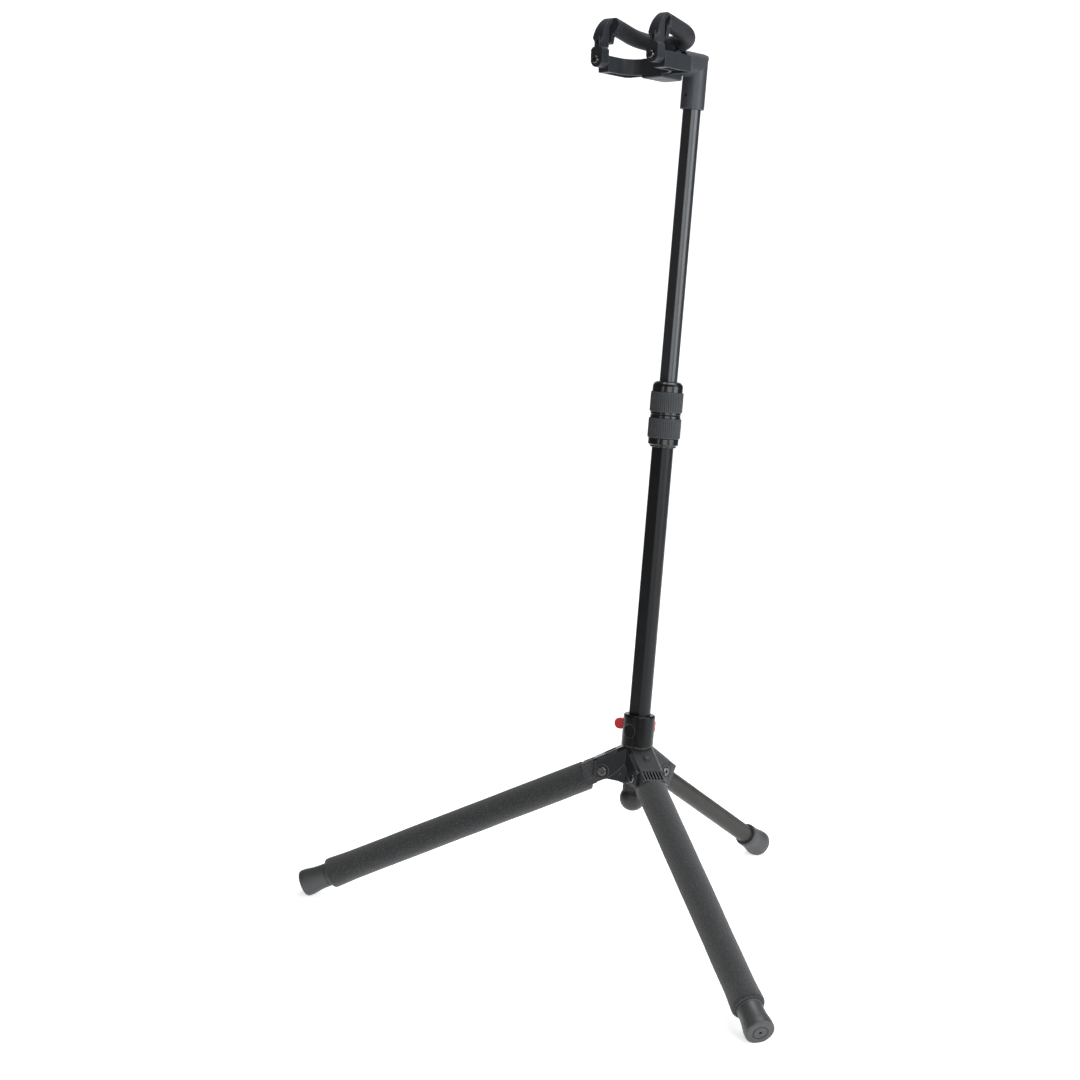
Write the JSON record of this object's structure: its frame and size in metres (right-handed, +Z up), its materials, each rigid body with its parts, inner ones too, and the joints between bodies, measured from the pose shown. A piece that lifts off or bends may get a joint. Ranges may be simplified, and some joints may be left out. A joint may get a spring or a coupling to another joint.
{
  "type": "neck-hanging guitar stand",
  "caption": "Folding tripod stand that hangs a stringed instrument by its neck in a self-closing padded yoke, with a telescoping mast.",
  "frame": {"origin": "middle of the outline of the three feet, on the floor", "axes": "+Z up; -Y is the side the yoke faces and the neck hangs on; +X to the right seen from the front"},
  "size_m": [0.6892, 0.489, 1.0306],
  "materials": {
    "hub_plastic": "satin",
    "gloss_plastic": "glossy",
    "head_plastic": "matte",
    "red_plastic": "glossy",
    "inner_plastic": "plain",
    "black_tube": "satin",
    "leg_tube": "satin",
    "nickel": "polished",
    "black_screw": "black oxide",
    "brass_shoe": "plain",
    "grip_rubber": "matte",
    "sleeve_rubber": "matte",
    "foot_rubber": "satin",
    "foam": "closed-cell foam, matte"
  },
  "bodies": {
    "hub": {"hub_core": "hub_plastic", "collar": "gloss_plastic", "collar_screws": "nickel", "lever_pin": "nickel", "lock_shoe": "brass_shoe", "pivot_screws": "nickel", "pivot_nuts": "nickel"},
    "lever": {"release_lever": "red_plastic"},
    "leg_left": {"leg_fitting_left": "hub_plastic", "leg_tube_left": "leg_tube", "leg_rivets_left": "nickel", "foot_left": "foot_rubber", "leg_foam_left": "foam"},
    "leg_right": {"leg_fitting_right": "hub_plastic", "leg_tube_right": "leg_tube", "leg_rivets_right": "nickel", "foot_right": "foot_rubber", "leg_foam_right": "foam"},
    "leg_rear": {"leg_fitting_rear": "hub_plastic", "leg_tube_rear": "leg_tube", "leg_rivets_rear": "nickel", "foot_rear": "foot_rubber"},
    "mast": {"lower_tube": "black_tube", "ball_cap": "hub_plastic", "cap_pin": "nickel", "clutch_base": "gloss_plastic", "clutch_lower_grip": "grip_rubber", "collet": "inner_plastic"},
    "clutch_nut": {"clutch_nut": "gloss_plastic", "clutch_upper_grip": "grip_rubber"},
    "upper_mast": {"upper_tube": "black_tube", "tube_bush": "inner_plastic", "elbow": "head_plastic", "elbow_screw": "black_screw"},
    "yoke": {"yoke_frame": "head_plastic", "swivel_bolt": "nickel", "swivel_nut": "nickel", "gate_screws": "nickel", "gate_washers": "nickel", "cradle_pin": "nickel", "cradle_spring": "nickel"},
    "cradle": {"cradle_rod": "nickel", "cradle_middle": "head_plastic", "cradle_sleeve_left": "sleeve_rubber", "cradle_sleeve_right": "sleeve_rubber", "cradle_cap_left": "head_plastic", "cradle_cap_right": "head_plastic"},
    "gate_left": {"gate_left": "head_plastic"},
    "gate_right": {"gate_right": "head_plastic"}
  },
  "joints": [
    {"name": "leg_fold_left", "type": "hinge", "parent": "hub", "child": "leg_left", "pos_m": [-0.03118, -0.03299, 0.17054], "axis": [0.5, -0.8582, 0.1161], "range_deg": [0, 62]},
    {"name": "leg_fold_right", "type": "hinge", "parent": "hub", "child": "leg_right", "pos_m": [0.03118, -0.03299, 0.17054], "axis": [0.5, 0.8582, -0.1161], "range_deg": [0, 62]},
    {"name": "leg_fold_rear", "type": "hinge", "parent": "hub", "child": "leg_rear", "pos_m": [0, 0.02053, 0.16329], "axis": [-1, 0, 0], "range_deg": [0, 62]},
    {"name": "mast_slide", "type": "slide", "parent": "hub", "child": "mast", "axis": [0, 0.1341, 0.991], "range_m": [-0.3, 0]},
    {"name": "lever_open", "type": "hinge", "parent": "hub", "child": "lever", "pos_m": [0.01195, 0.00327, 0.21508], "axis": [0, -0.1341, -0.991], "range_deg": [0, 35]},
    {"name": "clutch_turn", "type": "hinge", "parent": "mast", "child": "clutch_nut", "pos_m": [0, 0.04078, 0.58135], "axis": [0, 0.1341, 0.991], "range_deg": [0, 120]},
    {"name": "height_slide", "type": "slide", "parent": "mast", "child": "upper_mast", "axis": [0, 0.1341, 0.991], "range_m": [-0.28, 0.065]},
    {"name": "yoke_swivel", "type": "hinge", "parent": "upper_mast", "child": "yoke", "pos_m": [0, 0.09375, 0.97279], "axis": [0, 0.991, -0.1341], "range_deg": [-11, 19]},
    {"name": "cradle_sink", "type": "hinge", "parent": "yoke", "child": "cradle", "pos_m": [-0.00035, 0.04487, 0.98443], "axis": [0.9976, 0.0094, 0.0691], "range_deg": [0, 13], "stiffness_Nm_per_rad": 0.5, "springref_deg": -28.65},
    {"name": "gate_close_left", "type": "hinge", "parent": "yoke", "child": "gate_left", "pos_m": [-0.03782, -0.03043, 0.97984], "axis": [0, 0.991, -0.1341], "range_deg": [0, 45]},
    {"name": "gate_close_right", "type": "hinge", "parent": "yoke", "child": "gate_right", "pos_m": [0.0388, -0.02971, 0.98515], "axis": [0, -0.991, 0.1341], "range_deg": [0, 45]}
  ],
  "couplings": [
    {"joint": "gate_close_left", "follows": "cradle_sink", "ratio": 3.46},
    {"joint": "gate_close_right", "follows": "cradle_sink", "ratio": 3.46}
  ]
}
